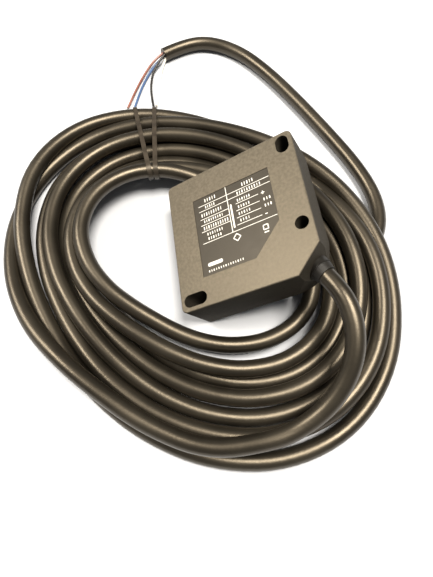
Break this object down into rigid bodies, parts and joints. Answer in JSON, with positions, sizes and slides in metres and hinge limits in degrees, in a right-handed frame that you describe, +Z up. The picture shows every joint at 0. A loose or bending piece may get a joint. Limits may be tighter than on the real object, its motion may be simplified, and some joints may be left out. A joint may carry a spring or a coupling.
{
  "type": "proximity sensor",
  "caption": "Flat square photoelectric proximity sensor in a plastic housing, with a corner cable outlet and its long cable wound in a loose coil.",
  "frame": {"origin": "bottom centre of the leaning sensor's box, on the surface that it and its cable lie on, cable left out", "axes": "+Z up from the surface; +Y up the label, along the edge that the sensor leans about; +X to the right, towards the side that is propped on the coil"},
  "size_m": [0.1477, 0.1954, 0.0391],
  "materials": {
    "housing_plastic": "fine sand texture, matte",
    "cover_plastic": "fine sand texture, matte",
    "screw_steel": "zinc plated",
    "seal_rubber": "matte",
    "label_film": "satin film with white rules",
    "filter_window": "dark filter, polished",
    "holder_plastic": "matte",
    "lens_clear": "polished",
    "circuit_board": "solder mask",
    "diode_clear": "polished",
    "chip_black": "moulded",
    "capacitor_sleeve": "shrink sleeve",
    "lamp_resin": "coloured resin",
    "tinned_copper": "tinned strands",
    "adjuster_brass": "turned",
    "trimmer_plastic": "moulded",
    "gland_plastic": "moulded",
    "sleeve_rubber": "satin",
    "cable_jacket": "satin PVC",
    "tie_band": "satin",
    "core_brown": "satin PVC",
    "core_blue": "satin PVC",
    "core_black": "satin PVC",
    "core_white": "satin PVC"
  },
  "bodies": {
    "sensor": {"housing_shell": "housing_plastic", "rear_cover": "cover_plastic", "cover_screws": "screw_steel", "cover_seal": "seal_rubber", "window_seal": "seal_rubber", "adjuster_seal": "seal_rubber", "label_plate": "label_film", "front_window": "filter_window", "lens_holder": "holder_plastic", "emitter_lens": "lens_clear", "receiver_lens": "lens_clear", "light_pipe": "lens_clear", "optics_board": "circuit_board", "main_board": "circuit_board", "emitter_diode": "diode_clear", "receiver_diode": "chip_black", "signal_chip": "chip_black", "output_stage": "chip_black", "resistors": "chip_black", "capacitors": "capacitor_sleeve", "indicator_lamp": "lamp_resin", "inner_cores": "tinned_copper", "core_tips": "tinned_copper", "adjuster_body": "trimmer_plastic", "gland_bush": "gland_plastic", "strain_relief": "sleeve_rubber", "exit_cable": "cable_jacket", "cable_coil": "cable_jacket", "cable_tail": "cable_jacket", "cable_tie": "tie_band", "core_brown": "core_brown", "core_blue": "core_blue", "core_black": "core_black", "core_white": "core_white"},
    "adjuster": {"adjuster_screw": "adjuster_brass"}
  },
  "joints": [
    {"name": "adjuster_turn", "type": "hinge", "parent": "sensor", "child": "adjuster", "pos_m": [0.00281, 0.0255, 0.02091], "axis": [0, 1, 0], "range_deg": [-135, 135]}
  ]
}
